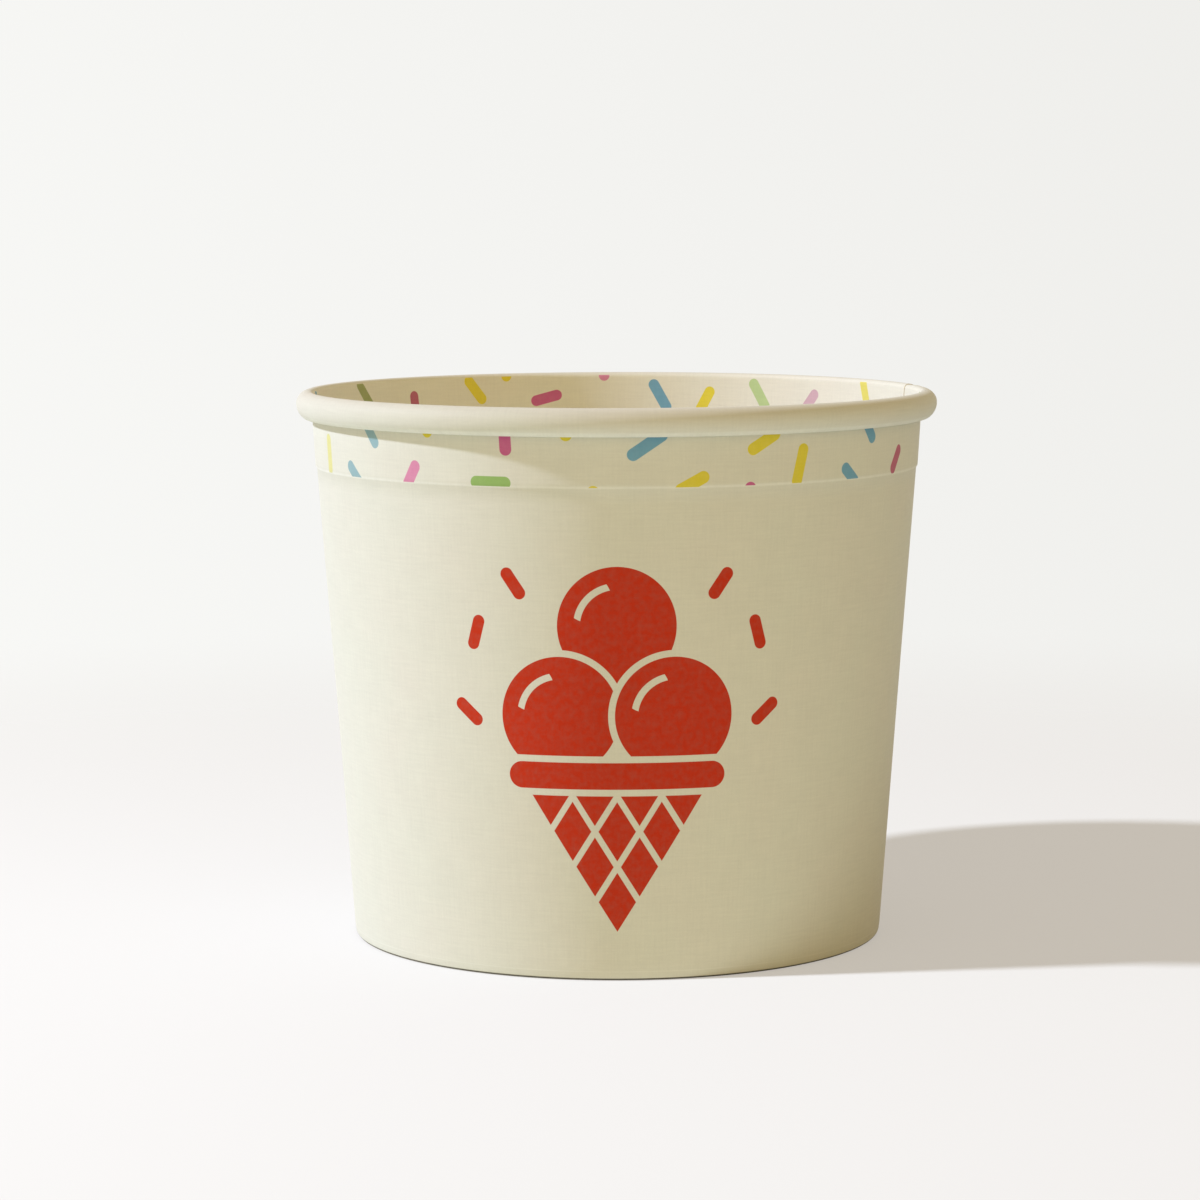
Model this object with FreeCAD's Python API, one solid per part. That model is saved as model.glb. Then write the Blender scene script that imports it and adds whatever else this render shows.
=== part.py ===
import FreeCAD, Part
import math
import os

# A paper tub for ice cream, empty and without its lid, standing on its foot.
# It is made of two pieces of coated board. The wall is one blank, wrapped into a cone and lapped at
# a side seam. Its top edge is rolled outward into the rim, and its bottom edge is folded inward and
# up into a hem. The floor is a disc with a turned-down skirt, which the hem grips against the wall.
#
# Millimetres and degrees. +Z is up, and the origin is on the table under the middle of the foot.
# -Y is the front, and the side seam is at the right, a little towards the back.

# Overall sizes
RIM_DIAMETER = 100.0            # over the rolled rim
CUP_HEIGHT = 85.4               # from the table to the top of the rim
FOOT_DIAMETER = 82.9            # outside of the wall, carried down to the table
WALL_BOARD = 0.45               # thickness of the wall's board
FLOOR_BOARD = 0.45              # thickness of the floor's board

# Rolled rim
ROLL_HEIGHT = 4.2               # from the roll's underside to its top
ROLL_OVERHANG = 2.5             # from the wall just under the roll out to the roll's widest point
ROLL_LEAD_RADIUS = 0.35         # inside radius where the board leaves the wall and turns out
ROLL_TUCK_RADIUS = 0.35         # inside radius where the board turns up into the roll
ROLL_TUCK_LENGTH = 0.8          # straight end of the board, standing inside the roll
ROLL_GAP = 0.15                 # between that end and the wall

# Band under the rim, which stands proud of the wall below it
BAND_HEIGHT = 7.7               # from the roll's underside down to the step
BAND_TAPER = 3.4                # lean of the band from the vertical
STEP_STAND_OUT = 0.2            # how far the band is proud of the wall
STEP_HEIGHT = 0.4               # height over which the wall steps out

# Hem at the foot
HEM_FOLD_RADIUS = 0.1           # inside radius of the two corners of the fold
HEM_CREASE_HEIGHT = 1.4         # the pressed crease around the outside, above the table
HEM_TURN_IN = 0.1               # how far the wall turns in from the crease down to the table
HEM_END_GAP = 0.3               # between the hem's top edge and the bend of the floor above it

# Floor
FLOOR_RECESS = 6.0              # from the table to the underside of the floor
FLOOR_BEND_RADIUS = 0.4         # inside radius where the floor turns down into its skirt
SKIRT_END_GAP = 0.4             # between the crease and the skirt's lower edge
GLUE_GAP = 0.03                 # on each side of the skirt, filled by the coating that seals it

# Side seam
SEAM_ANGLE = 14.0               # where the inner layer ends, from +X towards +Y
SEAM_LAP = 7.0                  # width of the doubled strip, measured at the rim
SEAM_RAMP = 4.0                 # width over which the outer layer climbs onto the inner one
SEAM_FADE = 1.5                 # height over which the seam is pressed flat, at the roll and hem
SEAM_ROLL_STEP = 0.1            # what is left of the seam's step in the pressed roll

# Limits of the small bends, as shares of the room that they have
FOLD_SHARE = 0.25               # of the pocket's width, for each corner of the hem's fold
TUCK_SHARE = 0.4                # of the roll's overhang, for its tuck

SAME_PLACE = 1e-6               # two values nearer than this are the same

# Heights and radii that follow
rim_radius = RIM_DIAMETER / 2
foot_radius = FOOT_DIAMETER / 2
roll_underside = CUP_HEIGHT - ROLL_HEIGHT
step_bottom = roll_underside - BAND_HEIGHT
step_top = step_bottom + STEP_HEIGHT
band_lean = math.radians(BAND_TAPER)
band_radius = rim_radius - ROLL_OVERHANG
step_radius = band_radius - BAND_HEIGHT * math.tan(band_lean) - STEP_STAND_OUT
wall_lean = math.atan((step_radius - foot_radius) / step_bottom)
pocket = (FLOOR_BOARD + 2 * GLUE_GAP) / math.cos(wall_lean)

# How far the seam's second layer stands out in the hem, in the wall and in the roll
SEAM_STAND_OUT = {"hem": 0.0, "wall": WALL_BOARD, "roll": SEAM_ROLL_STEP}


def inside_of_wall(z):
    """Radius of the wall's inner face below the step."""
    return foot_radius + z * math.tan(wall_lean) - WALL_BOARD / math.cos(wall_lean)


def inside_of_band(z):
    """Radius of the wall's inner face above the step."""
    return band_radius + (z - roll_underside) * math.tan(band_lean) - WALL_BOARD / math.cos(band_lean)


class BoardPath:
    """The line that the inner face of the wall's board follows in section, from the hem to the rim.

    Each point is kept with the direction in which the board's thickness lies, to the right of the
    way along the path, and with the zone that says how far the seam stands out there.
    """

    def __init__(self, r, z, lean):
        self.here = (r, z)
        self.lean = lean
        self.runs = []
        self.corners = [self.corner(lean, "hem")]

    def corner(self, next_lean, zone):
        """The present point, with the direction to its offset where the path turns to next_lean."""
        middle = (self.lean + next_lean) / 2
        reach = 1 / math.cos((next_lean - self.lean) / 2)
        return (self.here, (reach * math.cos(middle), -reach * math.sin(middle)), zone)

    def line_to(self, r, z, next_lean=None, zone="wall"):
        """A straight run. The lean is the angle from +Z towards the outside."""
        self.lean = math.atan2(r - self.here[0], z - self.here[1])
        self.here = (r, z)
        self.runs.append(None)
        self.corners.append(self.corner(self.lean if next_lean is None else next_lean, zone))

    def bend_to(self, radius, next_lean, zone):
        """An arc that carries on smoothly; a growing lean turns outward and then down."""
        side = math.copysign(radius, next_lean - self.lean)
        centre_r = self.here[0] + side * math.cos(self.lean)
        centre_z = self.here[1] - side * math.sin(self.lean)

        def at(lean):
            point = (centre_r - side * math.cos(lean), centre_z + side * math.sin(lean))
            return (point, (math.cos(lean), -math.sin(lean)), zone)

        self.runs.append(at((self.lean + next_lean) / 2))
        self.corners.append(at(next_lean))
        self.here = self.corners[-1][0]
        self.lean = next_lean


def hem_and_wall():
    """The path from the hem's upper edge, down, round the fold and up to the roll's underside."""
    fold_radius = min(HEM_FOLD_RADIUS, FOLD_SHARE * pocket)
    fold_centre = WALL_BOARD + fold_radius
    hem_top = FLOOR_RECESS - FLOOR_BEND_RADIUS - HEM_END_GAP
    crease_radius = inside_of_wall(HEM_CREASE_HEIGHT)
    turned_lean = math.atan(math.tan(wall_lean) + HEM_TURN_IN / HEM_CREASE_HEIGHT)
    path = BoardPath(inside_of_wall(hem_top) - pocket, hem_top, wall_lean - math.pi)
    down_to = fold_centre + fold_radius * math.sin(wall_lean)
    path.line_to(inside_of_wall(down_to) - pocket, down_to, zone="hem")
    path.bend_to(fold_radius, -3 * math.pi / 2, "hem")
    path.lean += 2 * math.pi
    turned_radius = crease_radius - (HEM_CREASE_HEIGHT - fold_centre) * math.tan(turned_lean)
    path.line_to(turned_radius - fold_radius / math.cos(turned_lean), WALL_BOARD, zone="hem")
    path.bend_to(fold_radius, turned_lean, "hem")
    path.line_to(crease_radius, HEM_CREASE_HEIGHT, wall_lean, "hem")
    fade_end = HEM_CREASE_HEIGHT + SEAM_FADE
    path.line_to(inside_of_wall(fade_end), fade_end)
    step_lean = math.atan2(inside_of_band(step_top) - inside_of_wall(step_bottom), STEP_HEIGHT)
    path.line_to(inside_of_wall(step_bottom), step_bottom, step_lean)
    path.line_to(inside_of_band(step_top), step_top, band_lean)
    fade_start = roll_underside - SEAM_FADE
    path.line_to(inside_of_band(fade_start), fade_start, band_lean)
    path.line_to(inside_of_band(roll_underside), roll_underside, band_lean, "roll")
    return path


def add_roll(path):
    """The rim: four arcs outward, down and back, ending in a short straight tuck."""
    lead = ROLL_LEAD_RADIUS + WALL_BOARD
    rise = CUP_HEIGHT - lead * (1 - math.sin(band_lean))
    path.line_to(inside_of_band(rise), rise, zone="roll")
    path.bend_to(lead, math.pi / 2, "roll")
    shoulder = rim_radius - path.here[0]
    path.bend_to(shoulder, math.pi, "roll")
    # The flank's radius is the one that meets both the shoulder and the tuck smoothly.
    tuck = min(ROLL_TUCK_RADIUS + WALL_BOARD, TUCK_SHARE * (ROLL_OVERHANG - ROLL_GAP))
    wall_there = band_radius + tuck * math.tan(band_lean)
    across = rim_radius - wall_there - (ROLL_GAP + tuck) / math.cos(band_lean)
    drop = path.here[1] - (roll_underside + tuck)
    flank = (across ** 2 + drop ** 2 - tuck ** 2) / (2 * (across - tuck))
    flank_end = math.pi + math.atan2(drop, flank - across)
    path.bend_to(flank, flank_end, "roll")
    path.bend_to(tuck, 2 * math.pi + band_lean, "roll")
    tuck_end = path.here[0] + ROLL_TUCK_LENGTH * math.sin(band_lean)
    path.line_to(tuck_end, path.here[1] + ROLL_TUCK_LENGTH * math.cos(band_lean), zone="roll")


def offset(corner, base, seam_share):
    """The point at a distance of base from the path, plus a share of the seam's stand-out."""
    (r, z), (across_r, across_z), zone = corner
    distance = base + seam_share * SEAM_STAND_OUT[zone]
    return FreeCAD.Vector(r + distance * across_r, 0, z + distance * across_z)


def section(path, inner_share, outer_share):
    """The board's closed outline, each face moved out by its share of the seam's stand-out."""
    edges = []
    ends = []
    for base, share in ((0.0, inner_share), (WALL_BOARD, outer_share)):
        points = [offset(corner, base, share) for corner in path.corners]
        ends.append((points[0], points[-1]))
        for start, middle, end in zip(points, path.runs, points[1:]):
            if middle is None:
                edges.append(Part.makeLine(start, end))
            else:
                edges.append(Part.Arc(start, offset(middle, base, share), end).toShape())
    (inner_hem, inner_tuck), (outer_hem, outer_tuck) = ends
    edges.append(Part.makeLine(inner_hem, outer_hem))
    edges.append(Part.makeLine(inner_tuck, outer_tuck))
    return Part.Wire(Part.__sortEdges__(edges))


def turned(wire, degrees):
    """A copy of the outline at an angle round the cup, from +X towards +Y."""
    copy = wire.copy()
    copy.rotate(FreeCAD.Vector(0, 0, 0), FreeCAD.Vector(0, 0, 1), degrees)
    return copy


def sweep(wire, start, end):
    """The outline carried round the cup's axis from one angle to another."""
    face = Part.Face(turned(wire, start))
    return face.revolve(FreeCAD.Vector(0, 0, 0), FreeCAD.Vector(0, 0, 1), end - start)


def make_side_wall():
    """The wrapped blank: one layer round most of the cup, a ramp, and two layers at the lap."""
    path = hem_and_wall()
    add_roll(path)
    single = section(path, 0, 0)
    climbed = section(path, 1, 1)
    doubled = section(path, 0, 1)
    ramp_start = SEAM_ANGLE - math.degrees(SEAM_RAMP / rim_radius)
    lap_end = SEAM_ANGLE + math.degrees(SEAM_LAP / rim_radius)
    around = sweep(single, lap_end, ramp_start + 360)
    lap = sweep(doubled, SEAM_ANGLE, lap_end)
    ramp = Part.makeLoft([turned(single, ramp_start), turned(climbed, SEAM_ANGLE)], True, True)
    return around.fuse([lap, ramp]).removeSplitter()


def make_base_disc():
    """The floor and its skirt, a shallow cap that opens downward."""
    bend = FLOOR_BEND_RADIUS + FLOOR_BOARD
    top = FLOOR_RECESS + FLOOR_BOARD
    skirt_end = HEM_CREASE_HEIGHT + SKIRT_END_GAP
    outer_gap = GLUE_GAP / math.cos(wall_lean)
    inner_gap = (GLUE_GAP + FLOOR_BOARD) / math.cos(wall_lean)
    bottom_centre = FreeCAD.Vector(0, 0, FLOOR_RECESS)
    top_centre = FreeCAD.Vector(0, 0, top)
    top_corner = FreeCAD.Vector(inside_of_wall(top) - outer_gap, 0, top)
    outer_end = FreeCAD.Vector(inside_of_wall(skirt_end) - outer_gap, 0, skirt_end)
    inner_end = FreeCAD.Vector(inside_of_wall(skirt_end) - inner_gap, 0, skirt_end)
    inner_corner = FreeCAD.Vector(inside_of_wall(FLOOR_RECESS) - inner_gap, 0, FLOOR_RECESS)
    corners = [bottom_centre, top_centre, top_corner, outer_end, inner_end, inner_corner]
    face = Part.Face(Part.makePolygon(corners + [bottom_centre]))
    disc = face.revolve(FreeCAD.Vector(0, 0, 0), FreeCAD.Vector(0, 0, 1), 360)
    disc = rounded(disc, top_corner, bend)
    return rounded(disc, inner_corner, FLOOR_BEND_RADIUS)


def rounded(solid, corner, radius):
    """The solid with its circular edge through the corner rounded."""
    edges = [
        edge
        for edge in solid.Edges
        if isinstance(edge.Curve, Part.Circle)
        and abs(edge.Curve.Radius - corner.x) < SAME_PLACE
        and abs(edge.Curve.Center.z - corner.z) < SAME_PLACE
    ]
    return solid.makeFillet(radius, edges)


PIECES = {"side_wall": make_side_wall, "base_disc": make_base_disc}

os.makedirs("parts", exist_ok=True)
for name, make in PIECES.items():
    shape = make()
    solid = shape.Solids[0]
    print(name, "solids", len(shape.Solids), "valid", shape.isValid(), "volume", round(solid.Volume, 1))
    solid.exportStep("parts/" + name + ".step")
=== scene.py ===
import bpy
import math
import random
from collections import namedtuple

import numpy as np
from mathutils import Matrix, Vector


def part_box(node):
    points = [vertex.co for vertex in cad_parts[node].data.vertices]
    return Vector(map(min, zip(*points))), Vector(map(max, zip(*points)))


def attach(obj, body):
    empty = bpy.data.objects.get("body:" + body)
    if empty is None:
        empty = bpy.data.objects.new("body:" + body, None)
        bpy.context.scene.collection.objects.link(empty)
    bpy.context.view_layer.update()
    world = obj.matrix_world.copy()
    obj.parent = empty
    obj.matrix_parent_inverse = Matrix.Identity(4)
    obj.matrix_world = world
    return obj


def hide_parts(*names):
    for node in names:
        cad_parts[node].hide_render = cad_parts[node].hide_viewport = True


# A paper tub for ice cream, empty and without its lid: the looks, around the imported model.
# The wall and the floor are rebuilt as fine meshes of the same form, with board, print and cut edges
# that the plain solids can't show. Metres, +Z up, the front towards -Y.

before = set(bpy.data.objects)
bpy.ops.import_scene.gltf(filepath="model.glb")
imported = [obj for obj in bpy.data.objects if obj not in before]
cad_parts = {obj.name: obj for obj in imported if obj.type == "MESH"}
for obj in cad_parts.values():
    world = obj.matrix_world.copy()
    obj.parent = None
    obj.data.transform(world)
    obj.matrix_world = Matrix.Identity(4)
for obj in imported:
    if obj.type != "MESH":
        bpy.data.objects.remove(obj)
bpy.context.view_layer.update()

MM = 0.001
FULL_TURN = 360.0

# Overall sizes, from the frame
wall_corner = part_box("side_wall")[1]
RIM_RADIUS = wall_corner.y
CUP_HEIGHT = wall_corner.z

# Sizes that the wall and the floor share with the solids
FOOT_RADIUS = 41.45 * MM
WALL_BOARD = 0.45 * MM
FLOOR_BOARD = 0.45 * MM
ROLL_HEIGHT = 4.2 * MM
ROLL_OVERHANG = 2.5 * MM
ROLL_LEAD_RADIUS = 0.35 * MM
ROLL_TUCK_RADIUS = 0.35 * MM
ROLL_TUCK_LENGTH = 0.8 * MM
ROLL_GAP = 0.15 * MM
BAND_HEIGHT = 7.7 * MM
BAND_LEAN = math.radians(3.4)
STEP_STAND_OUT = 0.2 * MM
STEP_HEIGHT = 0.4 * MM
HEM_FOLD_RADIUS = 0.1 * MM
HEM_CREASE_HEIGHT = 1.4 * MM
HEM_TURN_IN = 0.1 * MM
HEM_END_GAP = 0.3 * MM
FLOOR_RECESS = 6.0 * MM
FLOOR_BEND_RADIUS = 0.4 * MM
SKIRT_END_GAP = 0.4 * MM
GLUE_GAP = 0.03 * MM
SEAM_ANGLE = 14.0               # degrees from +X towards +Y to the inner layer's cut edge
SEAM_LAP = 7.0 * MM
SEAM_RAMP = 4.0 * MM            # over which the outer layer climbs onto the inner one
SEAM_FADE = 1.5 * MM            # over which the lap is pressed flat at the hem and at the roll
SEAM_ROLL_STEP = 0.1 * MM       # what the lap still stands out on the roll

ROLL_UNDERSIDE = CUP_HEIGHT - ROLL_HEIGHT
STEP_BOTTOM = ROLL_UNDERSIDE - BAND_HEIGHT
STEP_TOP = STEP_BOTTOM + STEP_HEIGHT
BAND_RADIUS = RIM_RADIUS - ROLL_OVERHANG
STEP_RADIUS = BAND_RADIUS - BAND_HEIGHT * math.tan(BAND_LEAN) - STEP_STAND_OUT
WALL_LEAN = math.atan((STEP_RADIUS - FOOT_RADIUS) / STEP_BOTTOM)
POCKET = (FLOOR_BOARD + 2 * GLUE_GAP) / math.cos(WALL_LEAN)
RAMP_START = SEAM_ANGLE - math.degrees(SEAM_RAMP / RIM_RADIUS)
LAP_END = SEAM_ANGLE + math.degrees(SEAM_LAP / RIM_RADIUS)
# How far the lap's outer layer stands out in each zone of the wall
SEAM_STAND_OUT = {"hem": 0.0, "wall": WALL_BOARD, "roll": SEAM_ROLL_STEP}

# How fine the meshes are
COLUMN_STEP = 1.0               # degrees round the cup
WALL_ROW = 2.2 * MM
BAND_ROW = 0.6 * MM
BEND_STEP = math.radians(12)
SHARP_ANGLE = math.radians(40)  # between two faces that meet in a crisp edge
SAME_POINT = 1e-8               # points of a mesh that are this close are one

# How far the board is from perfect: its wall is drawn in a little, and its floor sags
WALL_SLACK = 0.10 * MM
SLACK_WAVES = (                 # strength, waves round the cup, and radians of phase and of twist
    (1.0, 3, 1.1, 0.0),
    (0.7, 5, 0.0, 4.0),
    (0.5, 9, 2.0, -6.0),
    (0.3, 16, 0.0, 9.0),
)
FLOOR_SAG = 0.15 * MM

# Print
SPRINKLE_WIDTH = 1.85 * MM
INNER_SPRINKLE_WIDTH = 1.8 * MM
PRINT_EDGE = 0.07 * MM          # width over which a printed edge fades
INNER_PRINT_TOP = CUP_HEIGHT - 0.45 * MM
FAR_AWAY = 1.0                  # where a face that has no print says its sprinkle is

# Colours, linear
BOARD = (0.80, 0.775, 0.65)
# the inside's board: the same board, painted a little lighter to make up for the dimmer light inside
# the tub
LIGHTENED_INNER_BOARD = (0.84, 0.81, 0.675)
RAW_BOARD = (0.72, 0.64, 0.48)          # its cut edges
CREASE_HIGHLIGHT = (0.94, 0.92, 0.81)         # painted highlight along the creases and along the rolled rim's lip
ROLL_TOP_SHADE = (0.72, 0.695, 0.575)    # the rolled rim's top: painted shade, a little darker
ROLL_UNDER_LIGHT = (0.84, 0.81, 0.69)       # its lower half: painted light, paler
FOOT_SHADOW = (0.06, 0.045, 0.025)     # painted contact shadow on the fold that the cup stands on
COOL_BLOTCH = (0.975, 1.0, 0.98)        # tints of the board's blotches
WARM_BLOTCH = (1.0, 0.975, 0.965)
RED = (0.59, 0.030, 0.002)
INKS = {
    "pink": (0.74, 0.26, 0.42),
    "magenta": (0.63, 0.12, 0.29),
    "blue": (0.17, 0.40, 0.56),
    "green": (0.31, 0.50, 0.13),
    "yellow": (0.82, 0.68, 0.04),
    "pale blue": (0.30, 0.47, 0.49),
    "pale green": (0.50, 0.64, 0.28),
    "pale yellow": (0.79, 0.74, 0.30),
    "soft yellow": (0.79, 0.70, 0.13),
    "pale pink": (0.66, 0.42, 0.48),
    "olive": (0.36, 0.40, 0.15),
    "maroon": (0.52, 0.12, 0.19),
}
COMMON_INKS = ("pink", "magenta", "blue", "green", "yellow")

# Where light and shade are painted on the board: widths, and degrees that the place faces down
CREASE_WIDTH = 0.35 * MM
CREASE_EDGE = 0.3 * MM          # width over which a crease fades
HEM_CREASE_LESS = 0.2 * MM      # how much less the painted highlight on the hem's crease shows than on the others
LIP_FACES = (34.0, 66.0)        # the rolled rim's lip, where a highlight is painted
FOOT_SHADOW_FACES = (20.0, 80.0)       # the fold that the cup stands on, where a contact shadow is painted
ROLLED_EDGE = 0.5 * MM          # width over which the roll's painted shading begins
ROLLED_BLEND = 2.6 * MM         # width over which its two halves blend

# How much of a mark covers what is under it, and by how much that varies from spot to spot
MOTTLE = 900.0                  # spots to the metre
SPRINKLE_COVER = (0.96, 0.05)
RED_COVER = (0.985, 0.06)
RED_SHADE = (1.0, 0.15)
CREASE_HIGHLIGHT_COVER = (0.8, 0.4)
FOOT_SHADOW_COVER = (0.9, 0.1)

# Marks of the board itself: how much finer it is along each axis of the sheet, blobs to the metre,
# the noise's detail and harshness, and how much it changes the shade, the roughness and the height
Mark = namedtuple("Mark", "finer scale detail harshness shade roughness height")
BOARD_MARKS = (
    Mark((1.0, 14.0, 1.0), 170.0, 4.0, 0.65, 0.060, 0.00, 0.5),     # fibres that lie across
    Mark((14.0, 1.0, 1.0), 170.0, 4.0, 0.65, 0.055, 0.00, 0.4),     # fibres that stand
    Mark((1.0, 1.0, 1.0), 190.0, 3.0, 0.55, 0.030, 0.06, 0.0),      # clouds
    Mark((1.0, 1.0, 1.0), 2600.0, 2.0, 0.55, 0.025, 0.05, 0.6),     # tooth
)
BLOTCHES = 70.0                 # warm and cool blotches to the metre
BLOTCH_DETAIL = 2.0
BOARD_ROUGHNESS = 0.62
BOARD_SPECULAR = 0.20
BUMP_DEPTH = 0.02 * MM
BUMP_STRENGTH = 0.35

# A point of the board's inner face in section, the way from there to the outer face for each unit
# of thickness, and how far the seam stands out there
Station = namedtuple("Station", "r z across_r across_z stand_out")
Sprinkle = namedtuple("Sprinkle", "around height length lean ink")


def inside_of_wall(z):
    """Radius of the wall's inner face below the step."""
    return FOOT_RADIUS + z * math.tan(WALL_LEAN) - WALL_BOARD / math.cos(WALL_LEAN)


def inside_of_band(z):
    """Radius of the wall's inner face above the step."""
    return BAND_RADIUS + (z - ROLL_UNDERSIDE) * math.tan(BAND_LEAN) - WALL_BOARD / math.cos(BAND_LEAN)


class BoardPath:
    """Stations along the inner face of the wall's board in section, from the hem to the rim.

    The board's thickness lies to the right of the way along the path, and the lean is the angle of
    the way from +Z towards the outside.
    """

    def __init__(self, r, z, lean):
        self.lean = lean
        self.stations = [self.station(r, z, lean, "hem")]

    def station(self, r, z, next_lean, zone):
        """A point where the path turns to next_lean, with the direction to its offset."""
        middle = (self.lean + next_lean) / 2
        reach = 1 / math.cos((next_lean - self.lean) / 2)
        return Station(r, z, reach * math.cos(middle), -reach * math.sin(middle), SEAM_STAND_OUT[zone])

    def line_to(self, r, z, next_lean=None, zone="wall", spacing=WALL_ROW):
        """A straight run, cut into equal rows."""
        start = self.stations[-1]
        self.lean = math.atan2(r - start.r, z - start.z)
        end = self.station(r, z, self.lean if next_lean is None else next_lean, zone)
        rows = max(1, round(math.hypot(r - start.r, z - start.z) / spacing))
        for row in range(1, rows + 1):
            share = row / rows
            self.stations.append(Station(*[a + (b - a) * share for a, b in zip(start, end)]))

    def bend_to(self, radius, next_lean, zone):
        """An arc that carries on smoothly; a growing lean turns outward and then down."""
        start = self.stations[-1]
        side = math.copysign(radius, next_lean - self.lean)
        centre_r = start.r + side * math.cos(self.lean)
        centre_z = start.z - side * math.sin(self.lean)
        steps = math.ceil(abs(next_lean - self.lean) / BEND_STEP)
        for step in range(1, steps + 1):
            lean = self.lean + (next_lean - self.lean) * step / steps
            r = centre_r - side * math.cos(lean)
            z = centre_z + side * math.sin(lean)
            self.stations.append(Station(r, z, math.cos(lean), -math.sin(lean), SEAM_STAND_OUT[zone]))
        self.lean = next_lean


def board_path():
    """From the hem's upper edge, down, round the fold, up the wall and round the rolled rim."""
    fold_centre = WALL_BOARD + HEM_FOLD_RADIUS
    hem_top = FLOOR_RECESS - FLOOR_BEND_RADIUS - HEM_END_GAP
    crease_radius = inside_of_wall(HEM_CREASE_HEIGHT)
    turned_lean = math.atan(math.tan(WALL_LEAN) + HEM_TURN_IN / HEM_CREASE_HEIGHT)
    path = BoardPath(inside_of_wall(hem_top) - POCKET, hem_top, WALL_LEAN - math.pi)
    down_to = fold_centre + HEM_FOLD_RADIUS * math.sin(WALL_LEAN)
    path.line_to(inside_of_wall(down_to) - POCKET, down_to, zone="hem")
    path.bend_to(HEM_FOLD_RADIUS, -3 * math.pi / 2, "hem")
    turned_radius = crease_radius - (HEM_CREASE_HEIGHT - fold_centre) * math.tan(turned_lean)
    path.line_to(turned_radius - HEM_FOLD_RADIUS / math.cos(turned_lean), WALL_BOARD, zone="hem")
    path.bend_to(HEM_FOLD_RADIUS, turned_lean, "hem")
    path.line_to(crease_radius, HEM_CREASE_HEIGHT, WALL_LEAN, "hem")
    fade_end = HEM_CREASE_HEIGHT + SEAM_FADE
    path.line_to(inside_of_wall(fade_end), fade_end)
    step_lean = math.atan2(inside_of_band(STEP_TOP) - inside_of_wall(STEP_BOTTOM), STEP_HEIGHT)
    path.line_to(inside_of_wall(STEP_BOTTOM), STEP_BOTTOM, step_lean)
    path.line_to(inside_of_band(STEP_TOP), STEP_TOP, BAND_LEAN, spacing=BAND_ROW)
    fade_start = ROLL_UNDERSIDE - SEAM_FADE
    path.line_to(inside_of_band(fade_start), fade_start, BAND_LEAN, spacing=BAND_ROW)
    path.line_to(inside_of_band(ROLL_UNDERSIDE), ROLL_UNDERSIDE, BAND_LEAN, "roll", BAND_ROW)
    lead = ROLL_LEAD_RADIUS + WALL_BOARD
    rise = CUP_HEIGHT - lead * (1 - math.sin(BAND_LEAN))
    path.line_to(inside_of_band(rise), rise, zone="roll", spacing=BAND_ROW)
    path.bend_to(lead, math.pi / 2, "roll")
    path.bend_to(RIM_RADIUS - path.stations[-1].r, math.pi, "roll")
    # The flank's radius is the one that meets both the shoulder and the tuck smoothly.
    tuck = ROLL_TUCK_RADIUS + WALL_BOARD
    wall_there = BAND_RADIUS + tuck * math.tan(BAND_LEAN)
    across = RIM_RADIUS - wall_there - (ROLL_GAP + tuck) / math.cos(BAND_LEAN)
    drop = path.stations[-1].z - (ROLL_UNDERSIDE + tuck)
    flank = (across ** 2 + drop ** 2 - tuck ** 2) / (2 * (across - tuck))
    path.bend_to(flank, math.pi + math.atan2(drop, flank - across), "roll")
    path.bend_to(tuck, 2 * math.pi + BAND_LEAN, "roll")
    end = path.stations[-1]
    end_r = end.r + ROLL_TUCK_LENGTH * math.sin(BAND_LEAN)
    path.line_to(end_r, end.z + ROLL_TUCK_LENGTH * math.cos(BAND_LEAN), zone="roll")
    return path.stations


def wrapped_mesh(name, points):
    """A closed mesh over a grid of points that wraps both ways, with coincident points joined.

    Returns the object, the grid's column and row at each face corner, and each face's own cell.
    """
    columns, rows = points.shape[:2]
    keys = np.round(points.reshape(-1, 3) / SAME_POINT).astype(np.int64)
    _, first, joined = np.unique(keys, axis=0, return_index=True, return_inverse=True)
    joined = joined.reshape(columns, rows)
    faces = []
    corners = []
    cells = []
    for column in range(columns):
        beside = (column + 1) % columns
        for row in range(rows):
            above = (row + 1) % rows
            ring = [(column, row), (beside, row), (beside, above), (column, above)]
            kept = [c for c, before in zip(ring, ring[-1:] + ring[:-1]) if joined[c] != joined[before]]
            if len({joined[c] for c in kept}) > 2:
                faces.append([int(joined[c]) for c in kept])
                corners.extend(kept)
                cells.append((column, row))
    mesh = bpy.data.meshes.new(name)
    mesh.from_pydata(points.reshape(-1, 3)[first].tolist(), [], faces)
    mesh.polygons.foreach_set("use_smooth", [True] * len(faces))
    mesh.set_sharp_from_angle(angle=SHARP_ANGLE)
    piece = bpy.data.objects.new(name, mesh)
    bpy.context.scene.collection.objects.link(piece)
    return piece, np.array(corners), np.array(cells)


def set_attribute(piece, name, kind, values):
    """One value for each face corner."""
    layer = piece.data.attributes.new(name, kind, "CORNER")
    field = {"FLOAT_VECTOR": "vector", "FLOAT_COLOR": "color", "FLOAT": "value"}[kind]
    layer.data.foreach_set(field, np.asarray(values, np.float32).ravel())


def spaced(start, end, step):
    """Values from start to end, both included, about a step apart."""
    return np.linspace(start, end, max(1, round((end - start) / step)) + 1)


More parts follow.
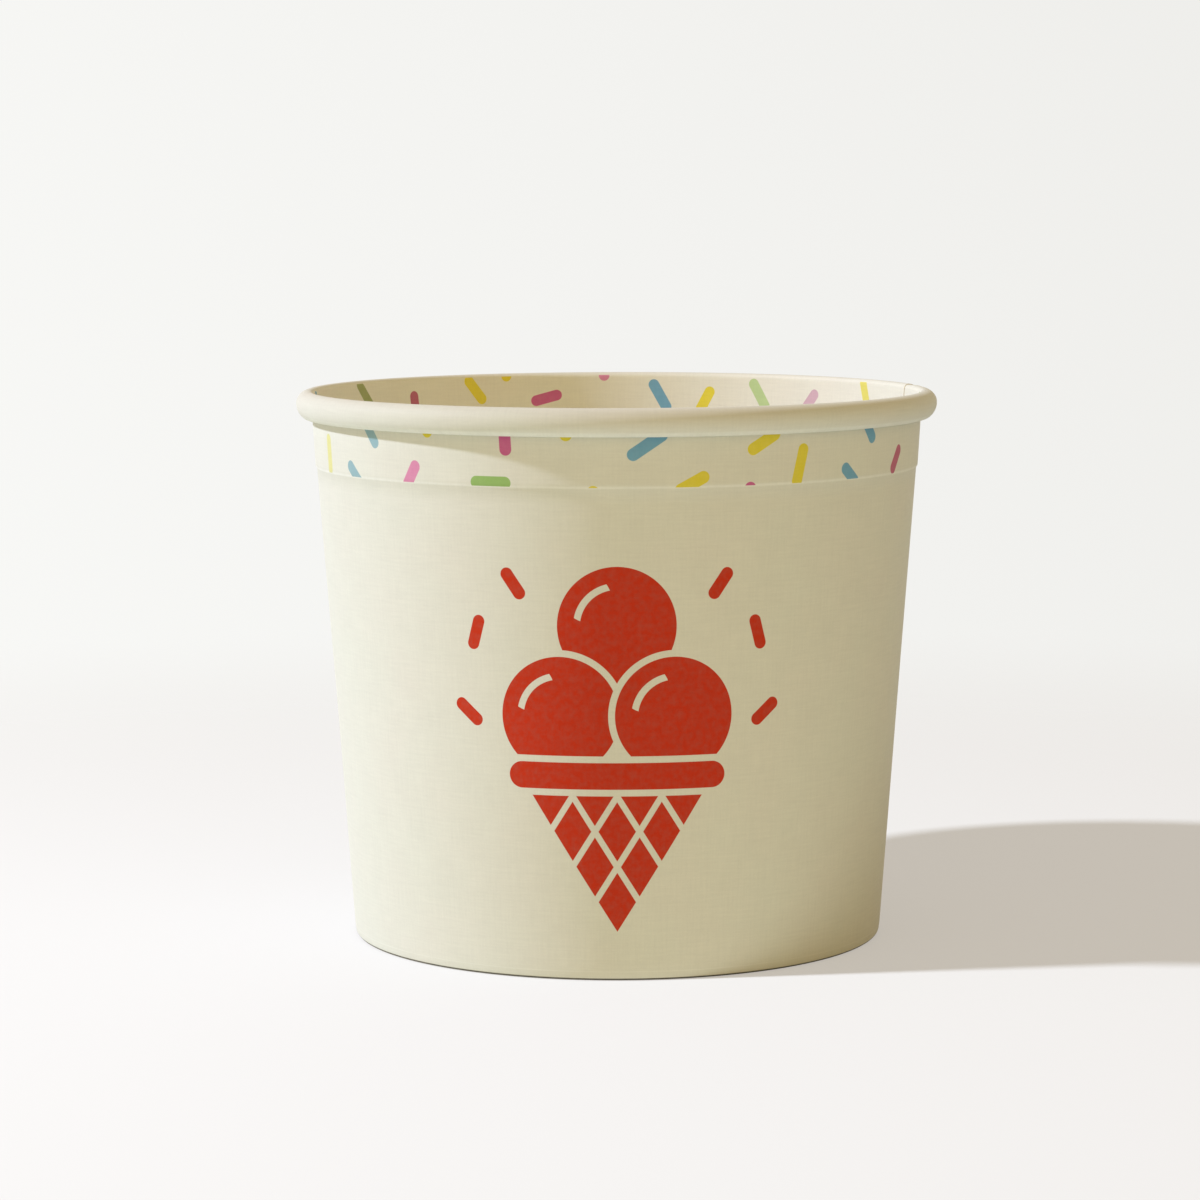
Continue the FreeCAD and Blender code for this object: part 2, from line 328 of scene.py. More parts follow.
def seam_columns():
    """The columns round the cup, from the outer layer's cut edge right round to it again.

    Each has its angle, the inner and the outer face's share of the seam's stand-out, and the angle
    of its inner face on the blank, which starts again where the inner layer's cut edge is.
    """
    climb_start = RAMP_START + FULL_TURN
    climb_end = SEAM_ANGLE + FULL_TURN
    columns = [(angle, 0.0, 0.0, angle) for angle in spaced(LAP_END, climb_start, COLUMN_STEP)]
    for angle in spaced(climb_start, climb_end, COLUMN_STEP)[1:]:
        share = (angle - climb_start) / (climb_end - climb_start)
        columns.append((angle, share, share, angle))
    for angle in spaced(SEAM_ANGLE, LAP_END, COLUMN_STEP):
        columns.append((angle + FULL_TURN, 0.0, 1.0, angle))
    return np.array(columns)


def slack(angle, z):
    """How far the wall is drawn in from a true cone: nothing at the hem and step, uneven between."""
    turn = np.radians(angle)
    height = np.clip((z - HEM_CREASE_HEIGHT) / (STEP_BOTTOM - HEM_CREASE_HEIGHT), 0, 1)
    envelope = np.sin(np.pi * height) ** 2
    waves = 0
    most = 0
    for strength, count, phase, twist in SLACK_WAVES:
        waves = waves + strength * np.sin(count * turn + twist * height + phase)
        most = most + strength
    return WALL_SLACK * envelope * (waves / most - 1) / 2


def way_along(r, z):
    """How far each point of an outline is along it."""
    return np.concatenate([[0], np.cumsum(np.hypot(np.diff(r), np.diff(z)))])


def facing_down(down, limits):
    """Which rows face down by an angle between two, from how far down their outward way goes."""
    least, most = np.sin(np.radians(limits))
    return (down > least) & (down < most)


def from_crease(outer, z, across_r, across_z, along):
    """How far each row of the wall is from the nearest crease, round the board's outline."""
    creased = (outer == 1) & (np.isclose(z, STEP_TOP) | np.isclose(z, HEM_CREASE_HEIGHT))
    # On the rolled rim, the board's inner face is the one that shows.
    creased |= (outer == 0) & (across_r < 0) & facing_down(across_z, LIP_FACES)
    fainter = np.where(np.isclose(z, HEM_CREASE_HEIGHT), HEM_CREASE_LESS, 0)[creased]
    return (np.abs(along[:, None] - along[creased]) + fainter).min(axis=1)


def face_starts(piece):
    """The first corner and the number of corners of each face."""
    count = len(piece.data.polygons)
    start = np.empty(count, int)
    total = np.empty(count, int)
    piece.data.polygons.foreach_get("loop_start", start)
    piece.data.polygons.foreach_get("loop_total", total)
    return start, total


def make_wall():
    """The wrapped blank, lapped at the seam, as one closed mesh."""
    stations = board_path()
    count = len(stations)
    outline = [(s, 0.0, 0) for s in stations] + [(s, WALL_BOARD, 1) for s in reversed(stations)]
    r, z, across_r, across_z, stand_out = np.array([s for s, _, _ in outline]).T
    base, outer = np.array([(board, side) for _, board, side in outline]).T
    angle, inner_share, outer_share, inner_angle = seam_columns().T[:, :, None]
    distance = base + np.where(outer == 1, outer_share, inner_share) * stand_out
    height = z + distance * across_z
    radius = r + distance * across_r + slack(angle, height)
    turn = np.radians(angle)
    points = np.stack([radius * np.cos(turn), radius * np.sin(turn), height], axis=-1)
    piece, corners, cells = wrapped_mesh("wall", points)

    column, row = corners.T
    along = way_along(r, z)
    along = np.where(outer == 1, along[::-1], along)
    blank_angle = np.where(outer == 1, angle, inner_angle)[column, row]
    sheet = np.stack([np.radians(blank_angle) * RIM_RADIUS, along[row], outer[row]], axis=-1)
    set_attribute(piece, "sheet", "FLOAT_VECTOR", sheet)
    print_wall(piece, blank_angle, radius[column, row], height[column, row], outer[row])

    cell_column, cell_row = cells.T
    same_angle = np.isclose(np.diff(angle[:, 0], append=angle[0, 0] + FULL_TURN), 0)
    cut = same_angle[cell_column] | np.isin(cell_row, [count - 1, 2 * count - 1])
    set_attribute(piece, "raw", "FLOAT", np.repeat(cut, face_starts(piece)[1]))

    crease = from_crease(outer, z, across_r, across_z, way_along(radius[0], height[0]))
    set_attribute(piece, "crease", "FLOAT", crease[row])
    outward = (outer == 1) & (across_r > 0)
    # Painted contact shadow: the fold's outer corner, facing down onto the ground, is painted dark.
    stood_on = outward & (z < HEM_CREASE_HEIGHT) & facing_down(-across_z, FOOT_SHADOW_FACES)
    set_attribute(piece, "foot_shadow", "FLOAT", stood_on[row])
    return piece


# Sprinkles that the front of the cup shows: degrees from +X towards +Y, then millimetres up and
# long, and degrees that the upper end leans towards a growing angle.
FRONT_SPRINKLES = [
    Sprinkle(-157.5, 76.6, 6.2, 0, "pale yellow"),
    Sprinkle(-140.5, 80.6, 5.0, -36, "pale blue"),
    Sprinkle(-125.5, 83.0, 5.0, 10, "yellow"),
    Sprinkle(-110.0, 80.9, 5.2, -2, "magenta"),
    Sprinkle(-99.4, 83.0, 5.0, -15, "yellow"),
    Sprinkle(-146.5, 74.2, 5.0, -48, "pale blue"),
    Sprinkle(-130.0, 74.8, 5.0, 32, "pink"),
    Sprinkle(-113.0, 74.3, 6.4, 90, "green"),
    Sprinkle(-94.5, 71.6, 5.0, 10, "yellow"),
    Sprinkle(-84.6, 80.0, 6.8, 56, "blue"),
    Sprinkle(-63.0, 80.1, 5.9, 60, "yellow"),
    Sprinkle(-76.5, 74.3, 5.6, 62, "yellow"),
    Sprinkle(-65.5, 71.8, 5.0, 0, "magenta"),
    Sprinkle(-55.2, 76.4, 6.5, 12, "yellow"),
    Sprinkle(-37.5, 81.0, 5.0, -37, "blue"),
    Sprinkle(-42.5, 74.4, 4.8, -49, "blue"),
    Sprinkle(-26.5, 75.9, 4.9, 35, "maroon"),
]

# Those that show on the far side of the inside, as above
FAR_SPRINKLES = [
    Sprinkle(150.0, 83.0, 6.4, 40, "olive"),
    Sprinkle(135.0, 80.6, 5.0, 5, "maroon"),
    Sprinkle(120.0, 82.8, 5.5, 38, "yellow"),
    Sprinkle(113.0, 86.6, 5.0, 0, "yellow"),
    Sprinkle(104.5, 81.2, 5.4, -76, "magenta"),
    Sprinkle(92.5, 86.5, 5.0, 0, "pink"),
    Sprinkle(81.0, 81.5, 6.0, 30, "blue"),
    Sprinkle(71.5, 80.8, 5.0, -28, "yellow"),
    Sprinkle(59.5, 81.9, 6.0, 32, "pale green"),
    Sprinkle(47.0, 81.3, 4.3, -38, "pale pink"),
    Sprinkle(31.0, 83.3, 5.0, 21, "soft yellow"),
]

# Those that are scattered elsewhere: their limits, and each stretch's degrees, millimetres and seed
SPRINKLE_LENGTHS = (4.6, 6.0)
SPRINKLE_LEANS = (-85.0, 90.0)
SPRINKLE_SPACING = 6.2          # between the middles of two of them, at the least
SPRINKLE_TRIES = 4000
BACK_OF_BAND = ((0.0, 180.0), (72.0, 83.0), 3)
NEAR_INSIDE = ((172.0, 368.0), (74.0, 86.0), 5)
LOW_INSIDE = ((0.0, 360.0), (73.0, 77.5), 7)


def turn_between(one, other):
    """The smaller angle between two directions, in radians."""
    return math.radians(abs((one - other + FULL_TURN / 2) % FULL_TURN - FULL_TURN / 2))


def add_sprinkles(placed, angles, heights, seed):
    """More sprinkles, scattered at random over a stretch, clear of those that are there."""
    draw = random.Random(seed)
    scattered = list(placed)
    for _ in range(SPRINKLE_TRIES):
        around = draw.uniform(*angles)
        height = draw.uniform(*heights)
        lean = draw.uniform(*SPRINKLE_LEANS)
        ink = draw.choice(COMMON_INKS)
        length = draw.uniform(*SPRINKLE_LENGTHS)
        apart = (math.hypot(turn_between(around, s.around) * BAND_RADIUS / MM, height - s.height)
                 for s in scattered)
        if all(distance > SPRINKLE_SPACING for distance in apart):
            scattered.append(Sprinkle(around, height, length, lean, ink))
    return scattered


# What is printed on each face of the blank, from the angle where that face starts
Print = namedtuple("Print", "side sprinkles first_angle bottom top width")
OUTER_SPRINKLES = add_sprinkles(FRONT_SPRINKLES, *BACK_OF_BAND)
INNER_SPRINKLES = add_sprinkles(add_sprinkles(FAR_SPRINKLES, *NEAR_INSIDE), *LOW_INSIDE)
PRINTS = (
    Print(1, OUTER_SPRINKLES, LAP_END, STEP_TOP, CUP_HEIGHT - ROLL_LEAD_RADIUS, SPRINKLE_WIDTH),
    Print(0, INNER_SPRINKLES, SEAM_ANGLE, STEP_BOTTOM, INNER_PRINT_TOP, INNER_SPRINKLE_WIDTH),
)


def print_wall(piece, blank_angle, radius, height, outer):
    """Gives each face the place of its nearest sprinkle, in that sprinkle's own directions."""
    start, total = face_starts(piece)
    faces = np.repeat(np.arange(len(start)), total)
    middle = [np.add.reduceat(values, start) / total for values in (blank_angle, radius, height)]
    face_side = np.add.reduceat(outer, start) / total
    spot = np.full((len(faces), 3), FAR_AWAY)
    ink = np.ones((len(faces), 4))
    for side, sprinkles, first_angle, bottom, top, width in PRINTS:
        printed = (face_side == side) & (middle[2] > bottom) & (middle[2] < top)
        if side == 0:
            # The rolled rim, where this face shows outside, is bare.
            printed &= middle[1] < BAND_RADIUS
        nearest = np.full(len(start), np.inf)
        for sprinkle in sprinkles:
            around = first_angle + (sprinkle.around - first_angle) % FULL_TURN
            half = (sprinkle.length * MM - width) / 2
            u, v = in_sprinkle(sprinkle, around, *middle)
            distance = np.hypot(np.maximum(np.abs(u) - half, 0), v)
            chosen = printed & (distance < nearest)
            nearest = np.where(chosen, distance, nearest)
            picked = chosen[faces]
            u, v = in_sprinkle(sprinkle, around, blank_angle[picked], radius[picked], height[picked])
            edge = np.full(len(u), half)
            spot[picked] = np.stack([u, v * SPRINKLE_WIDTH / width, edge], axis=-1)
            ink[picked, :3] = INKS[sprinkle.ink]
    set_attribute(piece, "spot", "FLOAT_VECTOR", spot)
    set_attribute(piece, "ink", "FLOAT_COLOR", ink)


def in_sprinkle(sprinkle, around, angle, radius, height):
    """Distances along and across a sprinkle from its middle, on the unrolled board."""
    across = np.radians(angle - around) * radius
    up = height - sprinkle.height * MM
    lean = math.radians(sprinkle.lean)
    return across * math.sin(lean) + up * math.cos(lean), across * math.cos(lean) - up * math.sin(lean)


def make_floor_disc():
    """The tub's floor with its turned-down skirt, sagging a little in the middle."""
    bend = FLOOR_BEND_RADIUS + FLOOR_BOARD
    top = FLOOR_RECESS + FLOOR_BOARD
    skirt_end = HEM_CREASE_HEIGHT + SKIRT_END_GAP
    outer_gap = GLUE_GAP / math.cos(WALL_LEAN)
    inner_gap = (GLUE_GAP + FLOOR_BOARD) / math.cos(WALL_LEAN)

    def face(height, gap, radius, outward):
        """One face of the board, from the middle out, round the bend and down the skirt."""
        corner_r = inside_of_wall(height) - gap
        turn = math.pi / 2 - WALL_LEAN
        reach = radius * math.tan(turn / 2)
        line = [(r, height) for r in spaced(0, corner_r - reach, WALL_ROW)]
        for bent in spaced(0, turn, BEND_STEP)[1:]:
            drop = radius * (1 - math.cos(bent))
            line.append((corner_r - reach + radius * math.sin(bent), height - drop))
        for z in spaced(-line[-1][1], -skirt_end, WALL_ROW)[1:]:
            line.append((inside_of_wall(-z) - gap, -z))
        return line if outward else line[::-1]

    outline = face(top, outer_gap, bend, True) + face(FLOOR_RECESS, inner_gap, FLOOR_BEND_RADIUS, False)
    r, z = np.array(outline).T
    inner_edge = inside_of_wall(top) - bend
    z = z - FLOOR_SAG * np.clip(1 - (r / inner_edge) ** 2, 0, 1) * (r < inner_edge)
    angle = np.radians(spaced(0, FULL_TURN, 2 * COLUMN_STEP)[:-1])[:, None]
    points = np.stack([r * np.cos(angle), r * np.sin(angle), z + 0 * angle], axis=-1)
    piece, corners, _ = wrapped_mesh("floor_disc", points)
    column, row = corners.T
    sheet = np.stack([points[column, row, 0], points[column, row, 1], z[row]], axis=-1)
    set_attribute(piece, "sheet", "FLOAT_VECTOR", sheet)
    return piece


class Term:
    """A number in a shader's tree, so that its formulas read as plain arithmetic."""

    def __init__(self, tree, socket):
        self.tree = tree
        self.socket = socket

    def math(self, operation, *others):
        """Any operation of a Math node, on this number and others."""
        node = self.tree.nodes.new("ShaderNodeMath")
        node.operation = operation
        for slot, value in zip(node.inputs, (self, *others)):
            plug(self.tree, value, slot)
        return Term(self.tree, node.outputs[0])

    def __add__(self, other):
        return self.math("ADD", other)

    def __sub__(self, other):
        return self.math("SUBTRACT", other)

    def __mul__(self, other):
        return self.math("MULTIPLY", other)

    def size(self):
        return self.math("ABSOLUTE")

    def least(self, other):
        return self.math("MINIMUM", other)

    def most(self, other):
        return self.math("MAXIMUM", other)

    def inside(self, fade):
        """1 where this distance is below zero and 0 above, with an edge as wide as the fade."""
        node = self.tree.nodes.new("ShaderNodeMapRange")
        plug(self.tree, self, node.inputs["Value"])
        node.inputs["From Min"].default_value = fade / 2
        node.inputs["From Max"].default_value = -fade / 2
        return Term(self.tree, node.outputs["Result"])


def plug(tree, value, slot):
    """Sets a socket to a number, vector or colour, or links it to a term or another socket."""
    if isinstance(value, Term):
        tree.links.new(value.socket, slot)
    elif isinstance(value, bpy.types.NodeSocket):
        tree.links.new(value, slot)
    else:
        slot.default_value = value


def attribute(tree, name, output="Fac"):
    """A value that the mesh carries, as a number, a Vector or a Color."""
    node = tree.nodes.new("ShaderNodeAttribute")
    node.attribute_name = name
    return Term(tree, node.outputs[output])


def parts_of(tree, vector):
    """The three numbers of a vector."""
    node = tree.nodes.new("ShaderNodeSeparateXYZ")
    plug(tree, vector, node.inputs[0])
    return [Term(tree, output) for output in node.outputs]


def object_place(tree):
    """The place on the object, as three numbers."""
    return parts_of(tree, tree.nodes.new("ShaderNodeTexCoord").outputs["Object"])


def length_of(x, y):
    """The length of a flat vector."""
    return (x * x + y * y).math("SQRT")


def vector_math(tree, operation, one, other, output="Vector"):
    """A vector worked out from two others, or from one and a number."""
    node = tree.nodes.new("ShaderNodeVectorMath")
    node.operation = operation
    plug(tree, one, node.inputs[0])
    plug(tree, other, node.inputs["Scale" if operation == "SCALE" else 1])
    return Term(tree, node.outputs[output])


def noise(tree, place, scale, detail=3.0, harshness=0.55):
    """Noise about zero, from -1 to 1, of about a given number of blobs to the metre."""
    node = tree.nodes.new("ShaderNodeTexNoise")
    plug(tree, place, node.inputs["Vector"])
    node.inputs["Scale"].default_value = scale
    node.inputs["Detail"].default_value = detail
    node.inputs["Roughness"].default_value = harshness
    return Term(tree, node.outputs["Fac"]).math("MULTIPLY_ADD", 2.0, -1.0)


def mixed(tree, share, one, other, blend="MIX"):
    """A colour between two, by a share. A Mix node takes its colours at 6 and 7 and gives one at 2."""
    node = tree.nodes.new("ShaderNodeMix")
    node.data_type = "RGBA"
    node.blend_type = blend
    plug(tree, share, node.inputs[0])
    for slot, value in ((6, one), (7, other)):
        plug(tree, value if isinstance(value, Term) else (*value, 1.0), node.inputs[slot])
    return Term(tree, node.outputs[2])


def shaded(tree, colour, factor):
    """A colour made lighter or darker by a factor."""
    return vector_math(tree, "SCALE", colour, factor)


def new_material(name):
    """A material, its tree and its shader."""
    material = bpy.data.materials.new(name)
    material.use_nodes = True
    tree = material.node_tree
    return material, tree, tree.nodes["Principled BSDF"]


def board_finish(tree, shader, sheet, colour):
    """Matte board: warm and cool blotches, crossed fibres, soft clouds and a faint tooth."""
    shade = 1.0
    roughness = BOARD_ROUGHNESS
    height = 0.0
    for mark in BOARD_MARKS:
        place = vector_math(tree, "MULTIPLY", sheet, mark.finer)
        value = noise(tree, place, mark.scale, mark.detail, mark.harshness)
        shade = value * mark.shade + shade
        roughness = value * mark.roughness + roughness
        height = value * mark.height + height
    blotch = noise(tree, sheet, BLOTCHES, BLOTCH_DETAIL)
    tint = mixed(tree, blotch * 0.5 + 0.5, COOL_BLOTCH, WARM_BLOTCH)
    colour = mixed(tree, 1.0, colour, tint, "MULTIPLY")
    plug(tree, shaded(tree, colour, shade), shader.inputs["Base Color"])
    plug(tree, roughness, shader.inputs["Roughness"])
    shader.inputs["Specular IOR Level"].default_value = BOARD_SPECULAR
    bump = tree.nodes.new("ShaderNodeBump")
    bump.inputs["Strength"].default_value = BUMP_STRENGTH
    bump.inputs["Distance"].default_value = BUMP_DEPTH
    plug(tree, height, bump.inputs["Height"])
    tree.links.new(bump.outputs[0], shader.inputs["Normal"])


def sprinkle_print(tree):
    """Share of ink where a sprinkle is printed: a bar with round ends."""
    along, across, half = parts_of(tree, attribute(tree, "spot", "Vector"))
    past_end = (along.size() - half).most(0.0)
    return (length_of(past_end, across) - SPRINKLE_WIDTH / 2).inside(PRINT_EDGE)


# The emblem on the front, in millimetres: three scoops in a cone and a few bars, in one flat red
EMBLEM_HEIGHT = 31.0            # from the table to the middle of the cone's collar
PRINT_GAP = 1.0                 # between two of its shapes
CONE_WIDTH = 29.0
CONE_DEPTH = 23.5
WAFFLE_CELLS = 2                # from the middle of the cone's top to either side
WAFFLE_LINE = 0.9
COLLAR_REACH = 16.2             # from its middle to either end
COLLAR_RADIUS = 2.0
SCOOP_RADIUS = 8.8
SCOOPS = ((0.0, 22.4), (-8.5, 9.0), (8.5, 9.0))     # the rear one first, from the collar's middle
SHINE_RADIUS = 5.9              # of the arc that the shine on a scoop is part of
SHINE_WIDTH = 1.0
SHINE_PLACE = (-4.3, 4.1)       # the middle of that part, from the middle of the scoop
SHINE_REACH = 3.5               # from there to where it ends
BARS = ((15.5, 28.5, 35), (21.5, 21.0, -15), (22.8, 9.0, 50))   # on either side: across, up and degrees
BAR_HALF = 1.7                  # of the length between the centres of its round ends
BAR_RADIUS = 0.95


def emblem(x, y, z):
    """Distance in millimetres to the emblem's edge on the front of the wall, below zero inside."""
    across = x.math("ARCTAN2", y * -1.0) * length_of(x, y) * (1 / MM)
    up = z * (1 / MM) - EMBLEM_HEIGHT

    def disc(middle_x, middle_y, radius):
        return length_of(across - middle_x, up - middle_y) - radius

    # The waffle's lines follow the cone's sides, so that its cells are whole.
    side_lean = math.atan(CONE_WIDTH / 2 / CONE_DEPTH)
    cone_top = COLLAR_RADIUS + PRINT_GAP
    spacing = ((CONE_DEPTH - cone_top) * math.sin(side_lean) + WAFFLE_LINE / 2) / WAFFLE_CELLS
    side = across.size() * math.cos(side_lean) - (up + CONE_DEPTH) * math.sin(side_lean)
    cone = side.most(up + cone_top)
    for lean in (side_lean, -side_lean):
        crossing = across * math.cos(lean) + (up + cone_top) * math.sin(lean)
        cone = cone.most(crossing.math("PINGPONG", spacing / 2) * -1.0 + WAFFLE_LINE / 2)
    past_collar = (across.size() - COLLAR_REACH + COLLAR_RADIUS).most(0.0)
    edge = cone.least(length_of(past_collar, up) - COLLAR_RADIUS)

    clear = (up - COLLAR_RADIUS - PRINT_GAP) * -1.0
    for place in reversed(SCOOPS):
        scoop = disc(*place, SCOOP_RADIUS)
        shine = (disc(*place, SHINE_RADIUS).size() - SHINE_WIDTH / 2).most(
            disc(place[0] + SHINE_PLACE[0], place[1] + SHINE_PLACE[1], SHINE_REACH))
        edge = edge.least(scoop.most(clear).most(shine * -1.0))
        clear = clear.most(scoop * -1.0 + PRINT_GAP)

    for middle_x, middle_y, degrees in BARS:
        lean = math.radians(degrees)
        beside = across.size() - middle_x
        above = up - middle_y
        along = beside * math.sin(lean) + above * math.cos(lean)
        aside = beside * math.cos(lean) - above * math.sin(lean)
        edge = edge.least(length_of((along.size() - BAR_HALF).most(0.0), aside) - BAR_RADIUS)
    return edge


def wall_material():
    """Board painted a little lighter inside, printed and cut, with painted highlights on its creases
    and lip, painted shade and light on its rolled rim, and a painted shadow on the fold it stands on.
    """
    material, tree, shader = new_material("printed_board")
    sheet = attribute(tree, "sheet", "Vector")
    outer = parts_of(tree, sheet)[2]
    mottle = noise(tree, sheet, MOTTLE)

    def uneven(middle, spread):
        return mottle * spread + middle

    x, y, z = object_place(tree)
    # On the rolled rim: painted shade on its upper half and painted light on its lower half.
    rolled = (length_of(x, y) * -1.0 + BAND_RADIUS).inside(ROLLED_EDGE)
    roll_lower_half = (z - CUP_HEIGHT + ROLL_HEIGHT / 2).inside(ROLLED_BLEND)
    # Inside, the board is painted a little lighter: painted light for the dimmer inside.
    colour = mixed(tree, outer, LIGHTENED_INNER_BOARD, BOARD)
    colour = mixed(tree, rolled, colour, mixed(tree, roll_lower_half, ROLL_TOP_SHADE, ROLL_UNDER_LIGHT))
    # Painted highlight: a lighter line along each crease and along the rolled rim's lip.
    highlighted = (attribute(tree, "crease") - CREASE_WIDTH / 2).inside(CREASE_EDGE)
    colour = mixed(tree, highlighted * uneven(*CREASE_HIGHLIGHT_COVER), colour, CREASE_HIGHLIGHT)
    ink = attribute(tree, "ink", "Color")
    colour = mixed(tree, sprinkle_print(tree) * uneven(*SPRINKLE_COVER), colour, ink)
    red = emblem(x, y, z).inside(PRINT_EDGE / MM) * outer
    colour = mixed(tree, red * uneven(*RED_COVER), colour, shaded(tree, RED, uneven(*RED_SHADE)))
    colour = mixed(tree, attribute(tree, "raw"), colour, RAW_BOARD)
    # Painted shadow where the foot meets the ground.
    colour = mixed(tree, attribute(tree, "foot_shadow") * uneven(*FOOT_SHADOW_COVER), colour, FOOT_SHADOW)
    board_finish(tree, shader, sheet, colour)
    return material


def floor_material():
    """Plain board in the inside's colour, which is painted a little lighter than the outside's to make
    up for the dimmer light inside.
    """
    material, tree, shader = new_material("floor_board_finish")
    board_finish(tree, shader, attribute(tree, "sheet", "Vector"), LIGHTENED_INNER_BOARD)
    return material


# Camera, as the photograph was taken: angles in radians, and its focal length in pixels of the full
# frame of 1200 by 1200
CAMERA_PLACE = (0.0, -0.6008, 0.1206)
CAMERA_YAW = -0.0044
CAMERA_PITCH = -0.1135
CAMERA_ROLL = -0.0024
LENS_PIXELS = 3840.0
FRAME_PIXELS = 1200
SENSOR = 36.0
CLIP_START = 0.01
CLIP_END = 100.0


def make_camera():
    """The camera, at the photograph's viewing angle."""
    camera = bpy.data.cameras.new("camera")
    camera.sensor_width = SENSOR
    camera.lens = LENS_PIXELS * SENSOR / FRAME_PIXELS
    camera.clip_start = CLIP_START
    camera.clip_end = CLIP_END
    holder = bpy.data.objects.new("camera", camera)
    yaw = Matrix.Rotation(-CAMERA_YAW, 4, "Z")
    pitch = Matrix.Rotation(math.pi / 2 + CAMERA_PITCH, 4, "X")
    roll = Matrix.Rotation(CAMERA_ROLL, 4, "Z")
    holder.matrix_world = Matrix.Translation(CAMERA_PLACE) @ yaw @ pitch @ roll
    bpy.context.scene.collection.objects.link(holder)
    bpy.context.scene.camera = holder


# Light: one small lamp for the cup and one for the ground, and a soft fill from all round
BACKDROP_BRIGHT = (0.940, 0.940, 0.920)
BACKDROP_DIM = (0.860, 0.855, 0.830)
DIM_WAY = (0.9, 0.0, 0.4)           # the way in which the backdrop grows dimmer
DIM_RATE = 2.8
DIM_AHEAD = 0.55                    # how far it is from bright to dim straight ahead
GROUND = (0.221, 0.222, 0.250)      # as seen: this share of the light on it, and a glow of its own
GROUND_GLOW = (0.446, 0.421, 0.383)
GROUND_BOUNCE = (0.315, 0.325, 0.325)   # as it lights the cup
CUP_LAMP_PLACE = (-0.814, -0.051, 0.677)
CUP_LAMP_RADIUS = 0.030
CUP_LAMP_LEVEL = (0.71, 0.78, 1.03)
GROUND_LAMP_PLACE = (-0.334, -0.122, 0.393)
GROUND_LAMP_RADIUS = 0.013
GROUND_LAMP_LEVEL = (2.16, 2.31, 2.31)
UNIT_LAMP = 4 * math.pi ** 2        # power of a lamp without falloff that lights white to a level of 1
FILL = {                            # the light from each side
    (0, 0, 1): (0.44, 0.35, 0.23),
    (0, 1, 0): (0.91, 0.78, 0.59),
    (0, -1, 0): (0.98, 0.77, 0.405),
    (-1, 0, 0): (0.34, 0.33, 0.28),
    (1, 0, 0): (0.43, 0.34, 0.19),
}


def make_lamp(name, place, radius, level, lit):
    """A round lamp that lights a white surface facing it to the given level, near or far."""
    lamp = bpy.data.lights.new(name, "POINT")
    lamp.shadow_soft_size = radius
    lamp.color = level
    lamp.energy = UNIT_LAMP
    lamp.use_nodes = True
    tree = lamp.node_tree
    falloff = tree.nodes.new("ShaderNodeLightFalloff")
    falloff.inputs["Strength"].default_value = 1.0
    tree.links.new(falloff.outputs["Constant"], tree.nodes["Emission"].inputs["Strength"])
    holder = bpy.data.objects.new(name, lamp)
    holder.location = place
    bpy.context.scene.collection.objects.link(holder)
    receivers = bpy.data.collections.new(name + "_lights")
    for piece in lit:
        receivers.objects.link(piece)
    holder.light_linking.receiver_collection = receivers


def seen_directly(tree):
    """1 for a ray that carries the background to the eye, straight or through gloss or glass."""
    path = tree.nodes.new("ShaderNodeLightPath")
    straight = Term(tree, path.outputs["Is Camera Ray"])
    gloss = Term(tree, path.outputs["Is Glossy Ray"])
    return straight.most(gloss).most(Term(tree, path.outputs["Is Transmission Ray"]))


def make_world():
    """Soft light of its own level from each side, and a plain pale background."""
    world = bpy.data.worlds.new("studio")
    bpy.context.scene.world = world
    world.use_nodes = True
    tree = world.node_tree
    direction = tree.nodes.new("ShaderNodeTexCoord").outputs["Generated"]
    fill = (0.0, 0.0, 0.0)
    for side, level in FILL.items():
        facing = vector_math(tree, "DOT_PRODUCT", direction, side, "Value").most(0.0)
        fill = vector_math(tree, "ADD", shaded(tree, level, facing * facing), fill)
    dimming = vector_math(tree, "DOT_PRODUCT", direction, DIM_WAY, "Value") * DIM_RATE + DIM_AHEAD
    backdrop = mixed(tree, dimming.most(0.0).least(1.0), BACKDROP_BRIGHT, BACKDROP_DIM)
    colour = mixed(tree, seen_directly(tree), fill, backdrop)
    plug(tree, colour, tree.nodes["Background"].inputs["Color"])


# The ground, and how far from the cup's axis it begins and ends to give way to the background
GROUND_SIZE = 6.0
GROUND_DROP = 0.02 * MM     # so that it doesn't share a plane with the foot
FADE_START = 0.15
FADE_END = 0.40


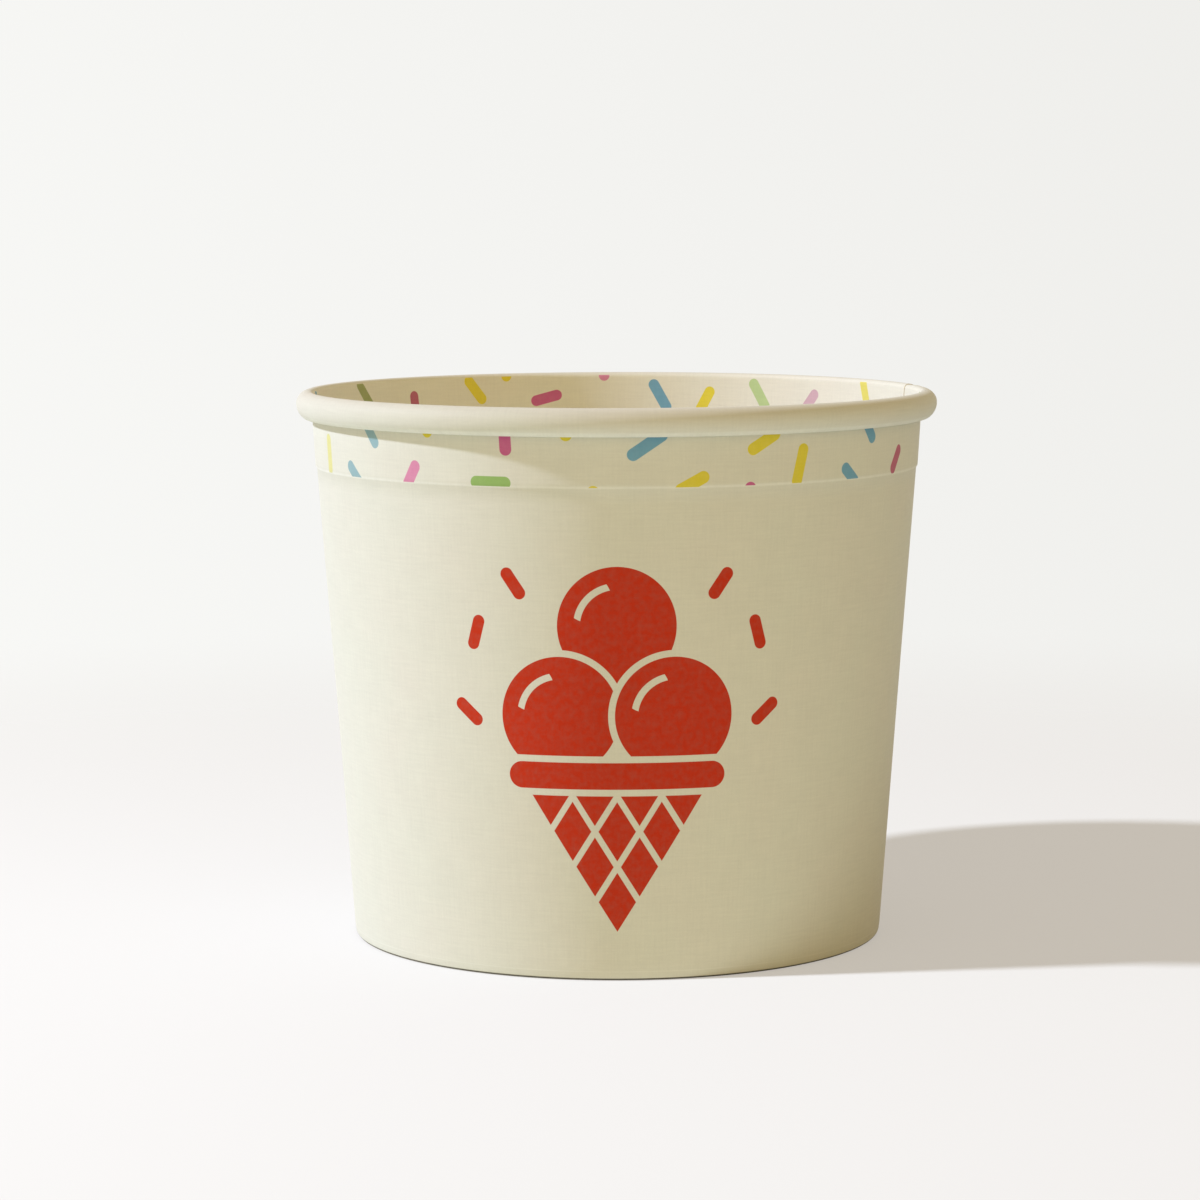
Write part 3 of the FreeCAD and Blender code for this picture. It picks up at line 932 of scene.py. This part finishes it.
def make_ground():
    """A plain pale ground that gives way to the background further off."""
    mesh = bpy.data.meshes.new("ground")
    half = GROUND_SIZE / 2
    corners = [(-half, -half), (half, -half), (half, half), (-half, half)]
    mesh.from_pydata([(x, y, -GROUND_DROP) for x, y in corners], [], [(0, 1, 2, 3)])
    ground = bpy.data.objects.new("ground", mesh)
    bpy.context.scene.collection.objects.link(ground)
    material, tree, shader = new_material("ground")
    seen = seen_directly(tree)
    plug(tree, mixed(tree, seen, GROUND_BOUNCE, GROUND), shader.inputs["Base Color"])
    shader.inputs["Roughness"].default_value = 1.0
    shader.inputs["Specular IOR Level"].default_value = 0.0
    shader.inputs["Emission Color"].default_value = (*GROUND_GLOW, 1.0)
    plug(tree, seen, shader.inputs["Emission Strength"])
    x, y, _ = object_place(tree)
    fade = tree.nodes.new("ShaderNodeMapRange")
    fade.interpolation_type = "SMOOTHSTEP"
    plug(tree, length_of(x, y), fade.inputs["Value"])
    fade.inputs["From Min"].default_value = FADE_START
    fade.inputs["From Max"].default_value = FADE_END
    blend = tree.nodes.new("ShaderNodeMixShader")
    plug(tree, Term(tree, fade.outputs["Result"]) * seen, blend.inputs[0])
    tree.links.new(shader.outputs[0], blend.inputs[1])
    tree.links.new(tree.nodes.new("ShaderNodeBsdfTransparent").outputs[0], blend.inputs[2])
    tree.links.new(blend.outputs[0], tree.nodes["Material Output"].inputs["Surface"])
    mesh.materials.append(material)
    return ground


wall = make_wall()
wall.data.materials.append(wall_material())
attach(wall, "root")
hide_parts("side_wall")

floor_disc = make_floor_disc()
floor_disc.data.materials.append(floor_material())
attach(floor_disc, "root")
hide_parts("base_disc")

ground = make_ground()
make_lamp("cup_lamp", CUP_LAMP_PLACE, CUP_LAMP_RADIUS, CUP_LAMP_LEVEL, [wall, floor_disc])
make_lamp("floor_lamp", GROUND_LAMP_PLACE, GROUND_LAMP_RADIUS, GROUND_LAMP_LEVEL, [ground])
make_world()
make_camera()
bpy.context.scene.view_settings.view_transform = "Standard"
